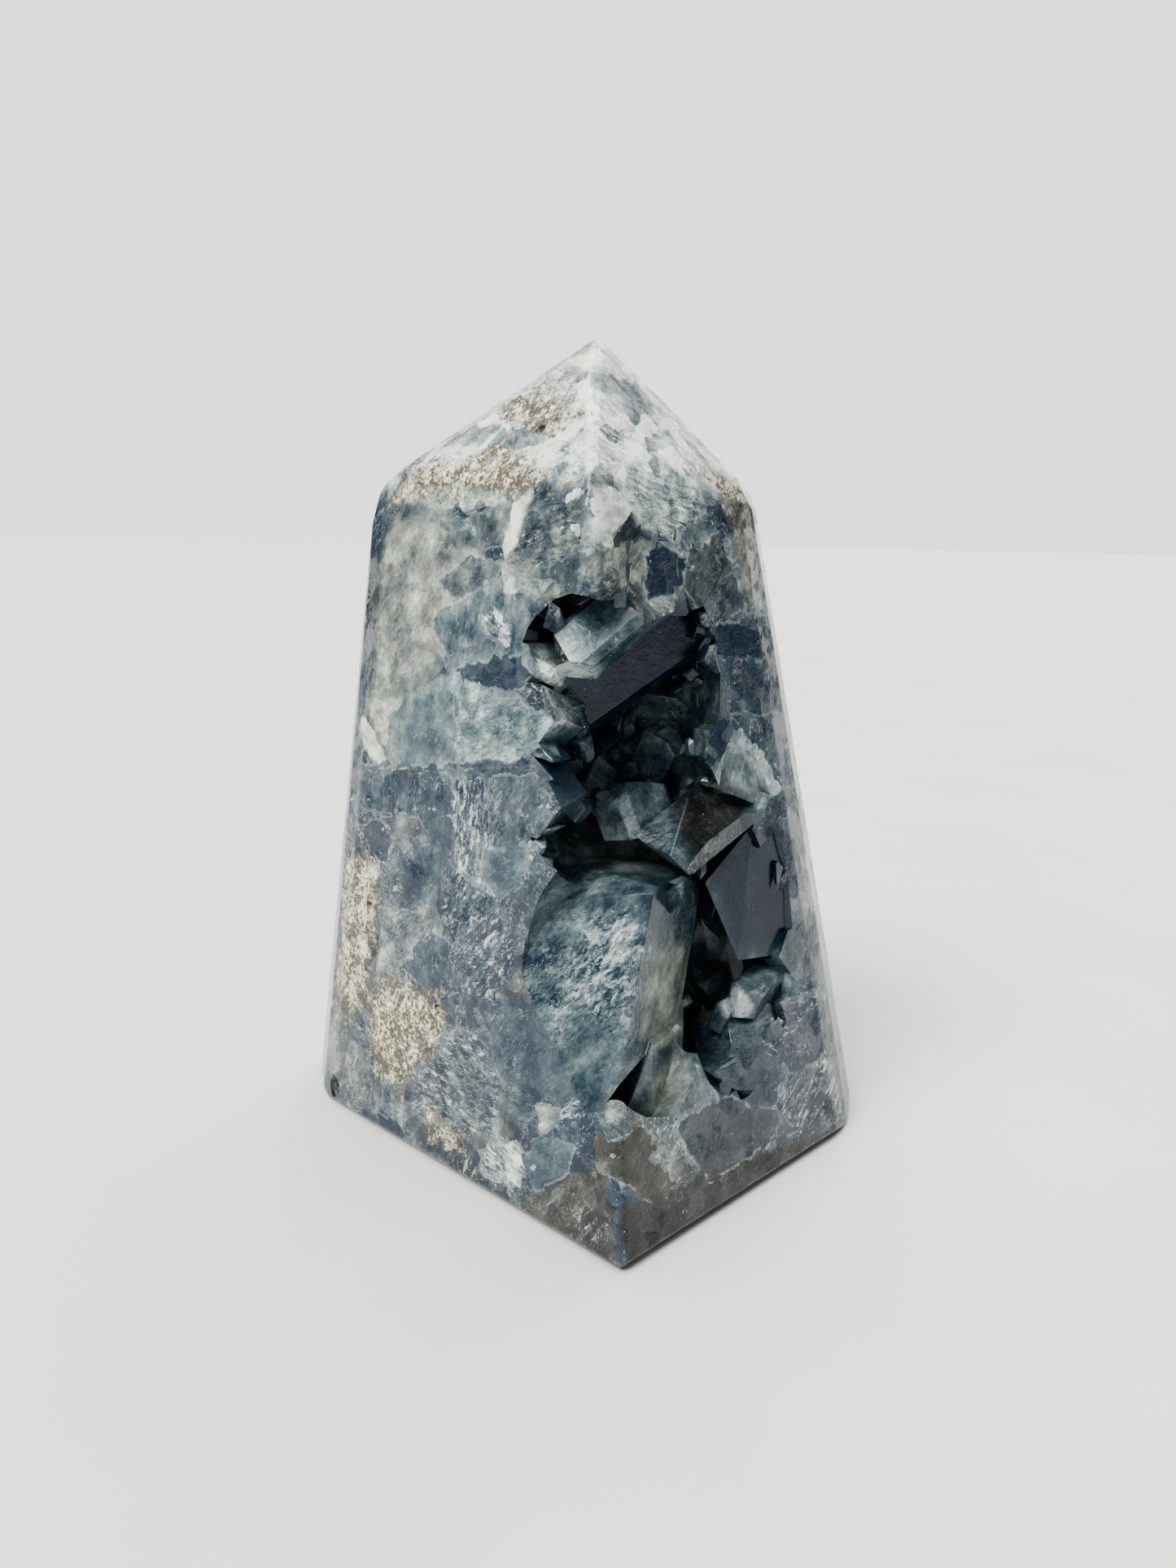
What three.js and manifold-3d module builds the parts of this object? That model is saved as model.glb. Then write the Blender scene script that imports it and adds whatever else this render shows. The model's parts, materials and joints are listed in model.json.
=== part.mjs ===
// A celestite tower: a six-sided, tapering block cut and polished from a geode, with a blunt
// six-sided point and an open pocket across its front edge that is lined with blocky crystals.
// Millimetres, +Z up, the flat foot on Z = 0 and the front edge towards -Y.
import * as THREE from "three";
import { ConvexGeometry } from "three/addons/geometries/ConvexGeometry.js";
import { mergeVertices } from "three/addons/utils/BufferGeometryUtils.js";
import Module from "manifold-3d";

const wasm = await Module();
wasm.setup();

// Driving dimensions of the cut block.
const SHOULDER_HEIGHT = 105;
const TOTAL_HEIGHT = 126;
const APEX_AT = [0.9, -2.5];
const APEX_BLUNTING = 1.2;
// The foot's corners, walked anticlockwise from the front one, and how far each side leans in.
const FOOT = {
  front: [6.5, -42.6],
  right: [45.5, -2.1],
  rightBack: [49, 11.5],
  back: [-3.4, 42.5],
  leftBack: [-48.9, 21.9],
  left: [-45, 6.4],
};
const LEAN_DEGREES = [8.8, 11.4, 8.5, 8.5, 6.2, 4.3];
// How deep the polishing took off the edges.
const UPRIGHT_EDGE = 0.7;
const POINT_EDGE = 0.5;
const SHOULDER_EDGE = 0.7;
const FOOT_EDGE = [1.2, 0.8, 0.8, 0.8, 0.8, 0.9];
const LEFT_SHOULDER_CORNER = 2.6;

// The gap that keeps the crystal crust clear of the block.
const SEAM = 0.45;

// The pocket that is cut into the block, as overlapping rounded chambers: centre and half sizes.
const POCKET = [
  { at: [6, -14, 77], half: [21, 26, 25] },
  { at: [6, -18, 43], half: [25, 26, 32] },
  { at: [24, -12, 36], half: [18, 22, 33] },
];
// The empty room inside it, before its crystals are added. crowd counts the large crystals on
// a chamber's back wall, and druse the small ones that cover all of its wall.
const ROOM = [
  { at: [5, -15, 77], half: [15.5, 20, 19.5], crowd: 30, druse: 46 },
  { at: [6, -17, 59], half: [15, 19, 12], crowd: 14, druse: 30 },
  { at: [22, -14, 37], half: [12, 16, 25], crowd: 26, druse: 38 },
  { at: [29, -13, 47], half: [12, 8, 27], crowd: 0, druse: 16 },
  { at: [5, -32, 36], half: [17, 13, 22], crowd: 0, druse: 0 },
  { at: [-1, -35, 16], half: [9, 6, 3], crowd: 0, druse: 0 },
  { at: [13, -32, 11], half: [7, 7, 4], crowd: 0, druse: 8 },
  { at: [12.5, -15, 96], half: [4, 5, 3.5], crowd: 0, druse: 8 },
];
// How far in its chamber a wall crystal starts and ends, its cross-section, and how far round
// to the open front it may stand. Each range is its lowest value and its span.
const WALL_LAYERS = [
  { count: "crowd", start: 1.15, reach: [0.24, 0.2], width: [5.5, 5], thick: [4.5, 3.5], front: -0.25 },
  { count: "druse", start: 1.06, reach: [0.12, 0.14], width: [2.4, 2.6], thick: [2.2, 2], front: -0.95 },
];
// Small crystals stay this far off the great crystal's clean faces, and out of the space round
// the smoky wedge and the pale block.
const CLEAN_MARGIN = 3.5;
const CLEAN_SPACE = [
  { at: [16, -16, 56], half: [12, 10, 7] },
  { at: [24, -10, 65], half: [7, 7, 7] },
];

const Z_AXIS = new THREE.Vector3(0, 0, 1);
const vector = (list) => new THREE.Vector3(...list);

// A repeatable number between 0 and 1 for item i.
function chance(i, salt) {
  const wave = Math.sin(i * 12.9898 + salt * 78.233) * 43758.5453;
  return wave - Math.floor(wave);
}

// The half-space on the inner side of the plane through a point.
function facet(normal, point) {
  const n = normal.clone().normalize();
  return { n, k: n.dot(point) };
}

// Every corner of the convex solid that lies inside all the facets.
function cornersInside(facets) {
  const corners = [];
  const inverse = new THREE.Matrix3();
  for (let a = 0; a < facets.length; a++)
    for (let b = a + 1; b < facets.length; b++)
      for (let c = b + 1; c < facets.length; c++) {
        const [p, q, r] = [facets[a], facets[b], facets[c]];
        inverse.set(p.n.x, p.n.y, p.n.z, q.n.x, q.n.y, q.n.z, r.n.x, r.n.y, r.n.z);
        if (Math.abs(inverse.determinant()) < 1e-4) continue;
        const corner = new THREE.Vector3(p.k, q.k, r.k).applyMatrix3(inverse.invert());
        const inside = facets.every((f) => f.n.dot(corner) < f.k + 1e-4);
        if (inside && !corners.some((other) => other.distanceTo(corner) < 1e-3))
          corners.push(corner);
      }
  return corners;
}

// A closed three.js mesh as a solid that can be cut and joined.
function solidOf(geometry) {
  const bare = geometry.index ? geometry.toNonIndexed() : geometry.clone();
  bare.deleteAttribute("normal");
  bare.deleteAttribute("uv");
  const merged = mergeVertices(bare, 1e-4);
  return new wasm.Manifold(
    new wasm.Mesh({
      numProp: 3,
      vertProperties: merged.attributes.position.array,
      triVerts: new Uint32Array(merged.index.array),
    }),
  );
}

function convexSolid(facets) {
  return solidOf(new ConvexGeometry(cornersInside(facets)));
}

function joined(solids) {
  return solids.reduce((all, one) => all.add(one));
}

// The largest body of a solid, without loose slivers and without sealed cavities.
function wholeBody(solid) {
  const bodies = solid.decompose();
  return bodies.reduce((large, one) => (one.volume() > large.volume() ? one : large));
}

function geometryOf(solid) {
  const mesh = solid.getMesh();
  const positions = new Float32Array(mesh.numVert * 3);
  for (let i = 0; i < mesh.numVert; i++)
    positions.set(mesh.vertProperties.subarray(i * mesh.numProp, i * mesh.numProp + 3), i * 3);
  const geometry = new THREE.BufferGeometry()
    .setAttribute("position", new THREE.BufferAttribute(positions, 3))
    .setIndex(new THREE.BufferAttribute(mesh.triVerts, 1));
  const flat = geometry.toNonIndexed();
  flat.computeVertexNormals();
  return flat;
}

// The facet that polishing leaves along the edge between two others.
function polishedEdge(first, second, onEdge, depth) {
  const blend = first.n.clone().add(second.n).normalize();
  return facet(blend, onEdge.clone().addScaledVector(blend, -depth));
}

// The block before the pocket: foot, six sides, six facets of the point, and the polished edges.
function cutBlock() {
  const foot = Object.values(FOOT).map(([x, y]) => new THREE.Vector3(x, y, 0));
  const sides = foot.map((corner, i) => {
    const along = foot[(i + 1) % foot.length].clone().sub(corner).normalize();
    const lean = THREE.MathUtils.degToRad(LEAN_DEGREES[i]);
    const outward = along.clone().cross(Z_AXIS).multiplyScalar(Math.cos(lean));
    return facet(outward.addScaledVector(Z_AXIS, Math.sin(lean)), corner);
  });
  const before = (i) => (i + sides.length - 1) % sides.length;
  const shoulders = sides.map((side, i) => {
    const level = facet(Z_AXIS, new THREE.Vector3(0, 0, SHOULDER_HEIGHT));
    const rows = [side, sides[before(i)], level];
    const matrix = new THREE.Matrix3().set(...rows.flatMap((f) => f.n.toArray()));
    return new THREE.Vector3(...rows.map((f) => f.k)).applyMatrix3(matrix.invert());
  });
  const apex = new THREE.Vector3(...APEX_AT, TOTAL_HEIGHT + APEX_BLUNTING);
  const pointFacets = shoulders.map((corner, i) => {
    const next = shoulders[(i + 1) % shoulders.length];
    const normal = next.clone().sub(corner).cross(apex.clone().sub(corner));
    return facet(normal, corner);
  });
  const ground = facet(new THREE.Vector3(0, 0, -1), foot[0]);
  const edges = sides.flatMap((side, i) => [
    polishedEdge(side, sides[before(i)], foot[i], UPRIGHT_EDGE),
    polishedEdge(side, pointFacets[i], shoulders[i], SHOULDER_EDGE),
    polishedEdge(side, ground, foot[i], FOOT_EDGE[i]),
    polishedEdge(pointFacets[i], pointFacets[before(i)], apex, POINT_EDGE),
  ]);
  const leftCorner = Object.keys(FOOT).indexOf("left");
  const outOfLeft = sides[leftCorner].n.clone().add(sides[before(leftCorner)].n);
  outOfLeft.add(pointFacets[leftCorner].n);
  const cornerDepth = outOfLeft.clone().normalize().multiplyScalar(-LEFT_SHOULDER_CORNER);
  edges.push(facet(outOfLeft, shoulders[leftCorner].clone().add(cornerDepth)));
  const top = facet(Z_AXIS, new THREE.Vector3(0, 0, TOTAL_HEIGHT));
  return convexSolid([ground, top, ...sides, ...pointFacets, ...edges]);
}

// A chamber of the pocket, drawn in by an amount all round.
function chamber({ at, half }, drawnIn) {
  const round = new THREE.IcosahedronGeometry(1, 2);
  round.scale(...half.map((size) => size - drawnIn));
  round.translate(...at);
  return solidOf(round);
}

// A blocky crystal from a buried root to its chisel-shaped tip.
// face is the way its broad side looks, width and thick are its cross-section across and along
// that way, slope is how steep its tip is, and skew moves the tip's ridge to one side.
function crystal({ root, tip, face, width, thick, slope = 40, skew = 0 }) {
  const start = vector(root);
  const axis = vector(tip).sub(start);
  const length = axis.length();
  axis.normalize();
  const broad = vector(face).projectOnPlane(axis).normalize();
  const across = broad.clone().cross(axis);
  const place = new THREE.Matrix4().makeBasis(across, broad, axis).setPosition(start);
  const steep = THREE.MathUtils.degToRad(slope);
  const ends = [skew * width, 0, length];
  const local = [
    [[1, 0, 0], [width / 2, 0, 0]],
    [[-1, 0, 0], [-width / 2, 0, 0]],
    [[0, 1, 0], [0, thick / 2, 0]],
    [[0, -1, 0], [0, -thick / 2, 0]],
    [[thick, width * 0.8, 0], [width * 0.42, thick * 0.42, 0]],
    [[-thick, width * 0.8, 0], [-width * 0.42, thick * 0.42, 0]],
    [[Math.sin(steep), 0, Math.cos(steep)], ends],
    [[-Math.sin(steep), 0, Math.cos(steep)], ends],
    [[0, Math.sin(steep * 0.6), Math.cos(steep * 0.6)], [0, thick * 0.15, length]],
    [[0, 0, -1], [0, 0, 0]],
  ];
  const facets = local.map(([normal, point]) =>
    facet(vector(normal).transformDirection(place), vector(point).applyMatrix4(place)),
  );
  return convexSolid(facets);
}

// Crystals by root, tip and broad side, from the top of the pocket to its foot.
const LONG_CRYSTALS = [
  // Hanging from the roof across the missing front edge: a shard, a drop and a stub.
  { root: [12, -16, 94], tip: [-4, -23.5, 80.5], face: [-0.4, -1, 0.3], width: 8, thick: 5 },
  { root: [1.5, -24, 103], tip: [2.8, -26.5, 90], face: [0, -1, 0], width: 5.5, thick: 6 },
  { root: [10, -16, 103], tip: [7, -21, 87], face: [0.4, -1, 0], width: 7, thick: 6 },
  { root: [19, -10, 99], tip: [15, -14, 88], face: [0.6, -1, 0.2], width: 6, thick: 6 },
  // The long dark one that crosses the back of the upper pocket.
  { root: [24, -1, 93], tip: [-6, -13, 73], face: [-0.2, -1, -0.3], width: 12, thick: 9, slope: 30 },
  // Points that reach in from the left rim.
  { root: [-20, -4, 93], tip: [-7.5, -17, 89], face: [-0.5, -1, 0.6], width: 8, thick: 8 },
  { root: [-20, -6, 83], tip: [-5.5, -20.5, 80], face: [-0.7, -0.7, 0], width: 6, thick: 9 },
  { root: [-22, -9, 74], tip: [-3, -24, 73.5], face: [-0.6, -0.8, 0.4], width: 8, thick: 10 },
  { root: [-21, -10, 62], tip: [-2.2, -26, 62], face: [-0.6, -0.8, -0.2], width: 10, thick: 9 },
  { root: [-20, -8, 50], tip: [-7, -21, 54], face: [-0.5, -0.8, 0.4], width: 8, thick: 9 },
  // Above the pale block on the right rim.
  { root: [34, 5, 78], tip: [20, -9, 76], face: [-0.4, -0.9, 0.2], width: 8, thick: 8 },
  { root: [32, 3, 90], tip: [18, -10, 86], face: [0.2, -0.9, 0.4], width: 8, thick: 8 },
  // At the back of the upper pocket.
  { root: [17, 12, 77], tip: [8, -2, 71], face: [-0.2, -0.8, 0.5], width: 14, thick: 8, slope: 25 },
  { root: [18, 10, 88], tip: [12, -3, 80], face: [0.3, -1, 0], width: 9, thick: 8, slope: 35 },
  { root: [-12, 8, 68], tip: [-5, -5, 62], face: [0.5, -0.8, 0.3], width: 9, thick: 8, slope: 35 },
  // Behind the gap on the right, and the crystals at its foot.
  { root: [26, 6, 46], tip: [21, -6, 38], face: [-0.5, -0.9, 0], width: 8, thick: 8 },
  { root: [35, 2, 30], tip: [24, -15.5, 28.5], face: [-0.35, -0.8, 0.45], width: 5, thick: 5 },
  { root: [43, -2, 22], tip: [32, -11, 27], face: [0.3, -0.8, 0.5], width: 8, thick: 7 },
  { root: [43, 4, 34], tip: [31, -9.5, 34], face: [0.2, -0.9, 0.3], width: 7, thick: 6 },
  { root: [44, 0, 14], tip: [34, -10, 18], face: [0.2, -0.8, 0.6], width: 7, thick: 7 },
  { root: [30, -2, 10], tip: [23, -16, 24], face: [-0.3, -1, 0.4], width: 13, thick: 10, slope: 30 },
  { root: [24, -14, 1], tip: [18, -23.5, 17], face: [0.1, -1, 0.2], width: 11, thick: 8, slope: 30 },
  { root: [9, -24, 1], tip: [12, -30, 13], face: [0.3, -1, 0.2], width: 6, thick: 6 },
  { root: [5, -26, 4], tip: [8, -34.5, 13.5], face: [0.5, -1, 0.6], width: 5, thick: 5 },
  { root: [-10, -22, 20], tip: [-4.5, -31, 17.5], face: [-0.5, -1, 0.5], width: 4, thick: 4 },
];

// The great crystal at the front edge, as its own faces: pane, top, right side and ends.
const GREAT_CRYSTAL = [
  facet(vector([-0.37, -0.86, 0.34]), vector([10, -27.1, 50])),
  facet(vector([0.02, 0.06, 1]), vector([10, -20, 50])),
  facet(vector([-0.3, -0.25, 1]), vector([-2, -24, 47])),
  facet(vector([0.876, -0.482, 0]), vector([10, -27.1, 50])),
  facet(vector([0.85, -0.2, 0.5]), vector([17, -17, 46.5])),
  facet(vector([0.98, 0.15, -0.2]), vector([17.8, -19, 40])),
  facet(vector([0.75, -0.3, -0.6]), vector([9.6, -29, 26.5])),
  facet(vector([0.1, -0.2, -1]), vector([4, -36, 19])),
  facet(vector([-1, 0.2, 0]), vector([-19, -14, 30])),
  facet(vector([0, 1, 0]), vector([0, -3, 30])),
];

// Crystals by their measured corners: the twin that grew parallel to the great one, the smoky
// wedge, the broad pane on the right rim and the pale block above it.
const CORNERED_CRYSTALS = [
  [
    [15.5, -20, 27], [15.4, -22, 18.5], [11.3, -28, 13.5], [10.3, -28.5, 27.5], [5, -33, 15],
    [16, -12, 29], [8, -10, 30], [8, -10, 12], [2, -20, 12],
  ],
  [
    [16, -12, 61.5], [7.5, -18, 55.5], [26.5, -11, 56.5], [15.5, -22.5, 51], [12.5, -23, 54],
    [27, 2, 52], [12, -4, 48], [24, 2, 62],
  ],
  [
    [18.2, -16, 48], [26, -9, 55.5], [33, -1.5, 55], [40, 0, 32], [24, -14, 35], [21, -15, 42],
    [31, 10, 52], [38, 8, 32], [28, 0, 34],
  ],
  [
    [18.5, -15, 62.5], [20.5, -11.5, 69.5], [25, -6, 73], [31, 1, 72], [35, 2, 57.5],
    [26, -8.5, 58.5], [22, 0, 72], [22, 2, 60], [34, 10, 66],
  ],
];

function corneredCrystal(corners) {
  return solidOf(new ConvexGeometry(corners.map(vector)));
}

// Smaller crystals on a chamber's wall, in one layer, on a golden-angle spiral.
const GOLDEN_ANGLE = Math.PI * (3 - Math.sqrt(5));

function wallCrystals(room, roomIndex, layer, layerIndex) {
  const centre = vector(room.at);
  const half = vector(room.half);
  const count = room[layer.count];
  const grown = [];
  for (let i = 0; i < count; i++) {
    const roll = (n) => chance(i, roomIndex * 11 + layerIndex * 101 + n);
    const within = ([lowest, span], n) => lowest + span * roll(n);
    const level = 1 - (2 * (i + 0.5)) / count;
    const ring = Math.sqrt(1 - level * level);
    const angle = i * GOLDEN_ANGLE + layerIndex;
    const way = vector([ring * Math.cos(angle), ring * Math.sin(angle), level]);
    if (way.y < layer.front) continue;
    const root = way.clone().multiply(half).multiplyScalar(layer.start).add(centre);
    const wander = vector([1, 2, 3].map((n) => (roll(n) - 0.5) * 12));
    const tip = root.clone().lerp(centre.clone().add(wander), within(layer.reach, 4));
    if (isKeptClean(tip)) continue;
    grown.push({
      root: root.toArray(),
      tip: tip.toArray(),
      face: [roll(5) - 0.5, -0.3 - roll(6), roll(7) - 0.3],
      width: within(layer.width, 8),
      thick: within(layer.thick, 9),
      slope: 24 + 24 * roll(10),
      skew: 0.4 * (roll(11) - 0.5),
    });
  }
  return grown;
}

function isKeptClean(tip) {
  const onGreatCrystal = GREAT_CRYSTAL.every((side) => side.n.dot(tip) < side.k + CLEAN_MARGIN);
  const inCleanSpace = CLEAN_SPACE.some(
    ({ at, half }) => tip.clone().sub(vector(at)).divide(vector(half)).length() < 1,
  );
  return onGreatCrystal || inCleanSpace;
}

function allWallCrystals() {
  return ROOM.flatMap((room, i) =>
    WALL_LAYERS.flatMap((layer, j) => wallCrystals(room, i, layer, j)),
  );
}

// Chips and pits that the polishing did not take out of the outside: where, and how large.
const CHIPS = [
  { at: [22.8, -25.6, -0.2], half: [4, 4, 2] },
  { at: [-42.8, 4.5, 3.5], half: [2, 2, 2.4] },
  { at: [-34.9, 1, 38], half: [1, 1.2, 2.4] },
  { at: [-21.9, -12.6, 25.7], half: [1.4, 1.4, 1] },
  { at: [-7, -10.4, 112.9], half: [1.1, 1, 0.9] },
  { at: [-20, -1.6, 109.6], half: [1.6, 1, 0.8] },
  { at: [23.6, -2.2, 100.7], half: [1, 1, 1.4] },
];

function chips() {
  return joined(
    CHIPS.map(({ at, half }) => {
      const chip = new THREE.IcosahedronGeometry(1);
      chip.scale(...half);
      chip.translate(...at);
      return solidOf(chip);
    }),
  );
}

const block = cutBlock();
const pocket = joined(POCKET.map((one) => chamber(one, 0)));
const crustSpace = joined(POCKET.map((one) => chamber(one, SEAM)));
const room = joined(ROOM.map((one) => chamber(one, 0)));
const crystals = joined([
  convexSolid(GREAT_CRYSTAL),
  ...CORNERED_CRYSTALS.map(corneredCrystal),
  ...LONG_CRYSTALS.map(crystal),
  ...allWallCrystals().map(crystal),
]);

const tower = wholeBody(block.subtract(pocket).subtract(chips()));
const crust = wholeBody(crustSpace.intersect(block).subtract(room.subtract(crystals)));

// Polished massive celestite, greyer than the clear crystals in the pocket.
const POLISHED_CELESTITE = new THREE.MeshStandardMaterial({
  color: 0x9fb0b8,
  roughness: 0.28,
  metalness: 0,
});
const CLEAR_CELESTITE = new THREE.MeshStandardMaterial({
  color: 0x6f8ea3,
  roughness: 0.12,
  metalness: 0,
});

function piece(name, solid, material) {
  const mesh = new THREE.Mesh(geometryOf(solid), material);
  mesh.name = name;
  return mesh;
}

const celestite = new THREE.Group();
celestite.add(piece("polished_tower", tower, POLISHED_CELESTITE));
celestite.add(piece("pocket_crystals", crust, CLEAR_CELESTITE));

export default celestite;
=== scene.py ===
# A polished celestite tower with an open pocket of clear crystals, on a plain pale floor.
# Metres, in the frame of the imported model: +Z up, the front edge with the pocket towards -Y.
import json
import math
import random

import bpy
from mathutils import Matrix, Vector
from mathutils.bvhtree import BVHTree


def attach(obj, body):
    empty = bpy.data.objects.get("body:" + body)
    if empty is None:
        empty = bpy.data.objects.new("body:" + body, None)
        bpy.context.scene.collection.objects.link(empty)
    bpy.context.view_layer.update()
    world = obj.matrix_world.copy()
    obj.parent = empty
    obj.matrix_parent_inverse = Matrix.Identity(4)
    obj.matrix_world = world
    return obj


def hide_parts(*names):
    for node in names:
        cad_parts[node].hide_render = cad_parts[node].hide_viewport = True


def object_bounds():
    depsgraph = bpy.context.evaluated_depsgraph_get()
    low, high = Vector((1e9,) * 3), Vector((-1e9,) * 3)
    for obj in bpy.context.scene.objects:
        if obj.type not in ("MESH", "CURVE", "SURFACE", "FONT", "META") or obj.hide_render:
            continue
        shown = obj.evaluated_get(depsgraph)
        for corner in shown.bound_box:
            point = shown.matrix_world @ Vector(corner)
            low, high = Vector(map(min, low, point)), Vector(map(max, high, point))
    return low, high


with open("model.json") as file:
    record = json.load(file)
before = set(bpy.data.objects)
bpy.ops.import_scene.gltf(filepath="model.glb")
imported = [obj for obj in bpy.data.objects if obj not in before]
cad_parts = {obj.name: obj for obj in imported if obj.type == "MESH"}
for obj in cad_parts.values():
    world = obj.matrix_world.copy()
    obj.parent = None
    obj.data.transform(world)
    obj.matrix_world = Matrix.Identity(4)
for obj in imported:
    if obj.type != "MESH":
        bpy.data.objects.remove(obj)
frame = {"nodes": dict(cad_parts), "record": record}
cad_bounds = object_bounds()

MM = 0.001

# Camera: where it stands, how far it looks down, how far it is rolled, its lens on a 36 mm high
# picture, and the nearest that it sees.
CAMERA_AT = (0.0006, -0.1841, 0.1)
LOOKS_DOWN = math.radians(12.5)
ROLL = math.radians(1.0)
PICTURE_HEIGHT = 36.0
LENS = 27.03
NEAREST = 1.0 * MM

# Lights: where each comes from, its spread in degrees, its strength and its colour.
SUNS = {
    "window": ((-0.45, -0.50, 0.74), 30, 2.6, (1.0, 0.99, 0.95)),
    "ceiling": ((-0.05, 0.1, 0.99), 70, 1.8, (1.0, 1.0, 0.98)),
    "back": ((0.35, 0.8, 0.45), 60, 0.9, (1.0, 0.99, 0.97)),
    "front": ((-0.05, -0.97, 0.22), 60, 0.55, (0.96, 0.98, 1.0)),
}
# The plain surroundings: their colour, and how bright they are as light and as the camera sees them.
ROOM_COLOR = (0.82, 0.84, 0.85, 1.0)
LIGHT_FROM_ROOM = 0.22
LIGHT_OF_BACKDROP = 1.1
EXPOSURE = 0.15
FLOOR_RADIUS = 6.0

# Points nearer than this are one point, and faces that turn by less than this are one flat face.
SAME_POINT = 0.001 * MM
FLAT_ANGLE = math.radians(0.3)

# The block: its edges are rounded where they turn by more than this, this wide and in this many
# steps. It is scaled by DRAWN_IN before each cut.
ROUNDED_FROM = math.radians(10)
EDGE_ROUND = 0.4 * MM
EDGE_STEPS = 4
DRAWN_IN = 0.9999

# The lining: how far its outside is grown to meet the stone, how near the stone is there, how far
# off a face that search starts, and how near to the block's outline a face counts as cut flush.
SEAM = 0.8 * MM
SKIN_REACH = 1.0 * MM
OFF_FACE = 0.01 * MM
FLUSH = 0.06 * MM

# A crystal's natural edge is bevelled by CRYSTAL_BEVEL where it turns by more than SHARPEST, is
# longer than LONG_EDGE and meets no edge shorter than SHORT_EDGE.
CRYSTAL_BEVEL = 0.12 * MM
SHARPEST = math.radians(24)
LONG_EDGE = 2.0 * MM
SHORT_EDGE = 0.5 * MM

# The seed of the small crystals, a millimetre across and a millimetre long: the heights of its
# prism and its tip, the tip's ridge as shares of the prism's width, its bevel and where that
# starts, and how flat its copies are.
SEED_SIDES = 6
SEED_PRISM = 0.7
SEED_TIP = 0.3
SEED_RIDGE = (0.75, 0.15, 1.0)
SEED_BEVEL = 0.025 * MM
SEED_BEVELLED_FROM = math.radians(20)
FLATNESS = 0.75

# Small crystals in the corners of the pocket: their number, widths in millimetres, lengths in
# widths, the share of the length that is sunk in, and how far they stray from the way out.
SMALL_CRYSTALS = 120
SMALL_WIDTHS = (1.3, 3.2)
SMALL_LENGTHS = (1.0, 1.7)
SMALL_SINK = 0.35
STRAY = 0.35
RANDOM_SEED = 11
# A place lies in a corner where at least CORNER_SHARE of the probes, sent out in all directions
# from PROBE_LIFT millimetres above it, meet crystal within CORNER_REACH.
PROBES = 19
PROBE_LIFT = 0.3
CORNER_REACH = 3.5 * MM
CORNER_SHARE = 0.42
# Small crystals that reach the block's faces are cut this far under them.
UNDER_SKIN = 0.03 * MM

# Small crystals at the pocket's rim: the face, foot and tip in millimetres across, up and deep
# there, and width.
RIM_CRYSTALS = [
    ("right", (25.6, 103, 1.2), (24.4, 88.5, 1.8), 6.0),
    ("right", (13.6, 99, 1.0), (13.2, 90.0, 1.2), 4.2),
    ("left", (-31.5, 73.0, 1.6), (-19.5, 68.0, 1.8), 5.6),
    ("left", (-31.0, 57.0, 1.4), (-19.5, 58.5, 1.8), 5.2),
    ("right", (37.0, 16.5, 0.8), (24.0, 20.5, 1.2), 7.5),
]


# Places on the tower's front faces

# Which way each face looks, and the point that its places are measured from: across to the
# right and up along the face, in millimetres.
FACE_LOOKS = {
    "left": (-0.683, -0.727, 0.076),
    "right": (0.705, -0.693, 0.153),
    "cap_left": (-0.545, -0.57, 0.614),
    "cap_right": (0.585, -0.573, 0.575),
}
FRONT_FOOT = (6.4, -41.9, 0.0)
FRONT_SHOULDER = (0.1, -25.0, 105.6)
# A face's marks reach this deep under it, and are sent this far aside where it isn't the one seen.
MARK_DEPTH = 4.0
ASIDE = 1000.0


def face_axes(face):
    """Where a face's places start, and its directions across, up and out."""
    out = Vector(FACE_LOOKS[face]).normalized()
    up = (Vector((0, 0, 1)) - out * out.z).normalized()
    start = Vector(FRONT_SHOULDER if face.startswith("cap") else FRONT_FOOT)
    return start, up.cross(out), up, out


# Modelling helpers

def take_up(*pieces):
    """Selects the pieces and nothing else; the first one is active."""
    bpy.ops.object.select_all(action="DESELECT")
    for piece in pieces:
        piece.select_set(True)
    bpy.context.view_layer.objects.active = pieces[0]


def edit(piece, action="SELECT", kind="FACE"):
    """Starts to edit the piece by its faces or edges, with all of it selected or none."""
    take_up(piece)
    bpy.ops.object.mode_set(mode="EDIT")
    bpy.ops.mesh.select_mode(type=kind)
    bpy.ops.mesh.select_all(action=action)


def stop_editing():
    bpy.ops.object.mode_set(mode="OBJECT")


def merged_copy(node, name):
    """A new piece with a CAD node's shape, its loose triangles merged."""
    piece = bpy.data.objects.new(name, frame["nodes"][node].data.copy())
    bpy.context.scene.collection.objects.link(piece)
    piece.data.materials.clear()
    take_up(piece)
    bpy.ops.mesh.customdata_custom_splitnormals_clear()
    bpy.ops.object.shade_flat()
    edit(piece)
    bpy.ops.mesh.remove_doubles(threshold=SAME_POINT)
    stop_editing()
    return piece


def flatten(piece):
    """Joins triangles that lie in one flat face."""
    edit(piece)
    bpy.ops.mesh.dissolve_limited(angle_limit=FLAT_ANGLE)
    stop_editing()


def select_faces(piece, wanted):
    """Selects, in edit mode, the faces for which wanted(face) is true."""
    edit(piece, "DESELECT")
    stop_editing()
    for face in piece.data.polygons:
        face.select = wanted(face)
    bpy.ops.object.mode_set(mode="EDIT")


def finish_with(piece, kind, **settings):
    """Adds a modifier with these settings and applies it."""
    take_up(piece)
    modifier = piece.modifiers.new(kind.title(), kind)
    for name, value in settings.items():
        setattr(modifier, name, value)
    bpy.ops.object.modifier_apply(modifier=modifier.name)


def remove(piece):
    bpy.data.objects.remove(piece, do_unlink=True)


# The pieces

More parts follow.
